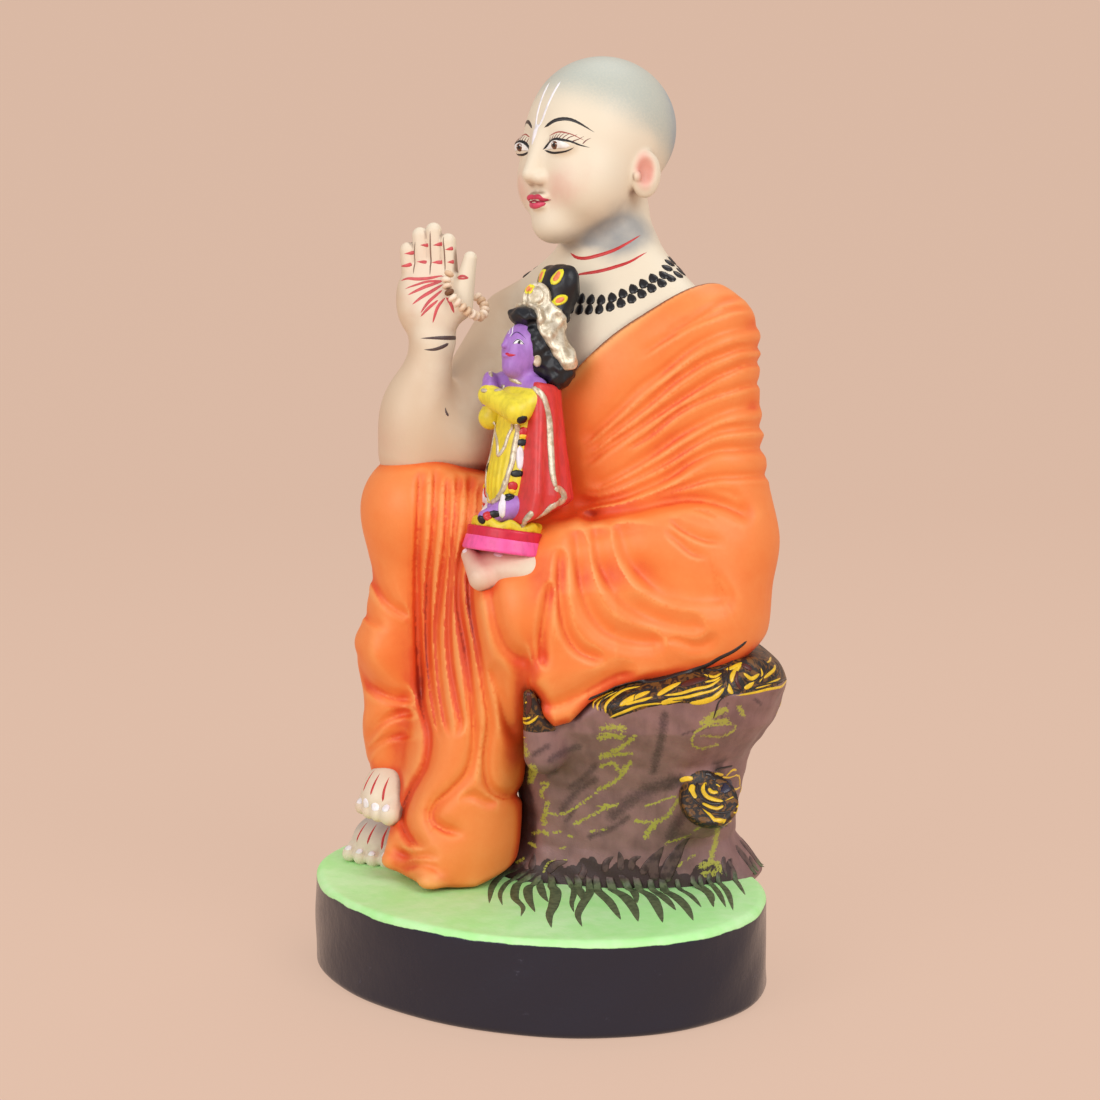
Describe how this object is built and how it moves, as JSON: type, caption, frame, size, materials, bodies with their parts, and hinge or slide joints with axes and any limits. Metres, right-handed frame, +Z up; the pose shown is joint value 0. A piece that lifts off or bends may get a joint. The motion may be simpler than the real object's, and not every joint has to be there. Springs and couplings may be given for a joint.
{
  "type": "seated monk figurine",
  "caption": "Painted clay figure of a seated monk with a raised hand, on a tree stump and an oval base, holding a small deity figurine and prayer beads.",
  "frame": {"origin": "centre of the oval base's underside", "axes": "+Z up; -Y is the figure's front, +X its left"},
  "size_m": [0.1991, 0.1601, 0.3609],
  "materials": {
    "painted_clay": "matt paint on clay",
    "painted_figurine": "satin paint on clay",
    "bead_wood": "bare wood"
  },
  "bodies": {
    "root": {"monk_figure": "painted_clay", "deity_figurine": "painted_figurine", "prayer_bead_01": "bead_wood", "prayer_bead_02": "bead_wood", "prayer_bead_03": "bead_wood", "prayer_bead_04": "bead_wood", "prayer_bead_05": "bead_wood", "prayer_bead_06": "bead_wood", "prayer_bead_07": "bead_wood", "prayer_bead_08": "bead_wood", "prayer_bead_09": "bead_wood", "prayer_bead_10": "bead_wood", "prayer_bead_11": "bead_wood", "prayer_bead_12": "bead_wood", "prayer_bead_13": "bead_wood", "prayer_bead_14": "bead_wood", "prayer_bead_15": "bead_wood", "prayer_bead_16": "bead_wood"}
  },
  "joints": []
}
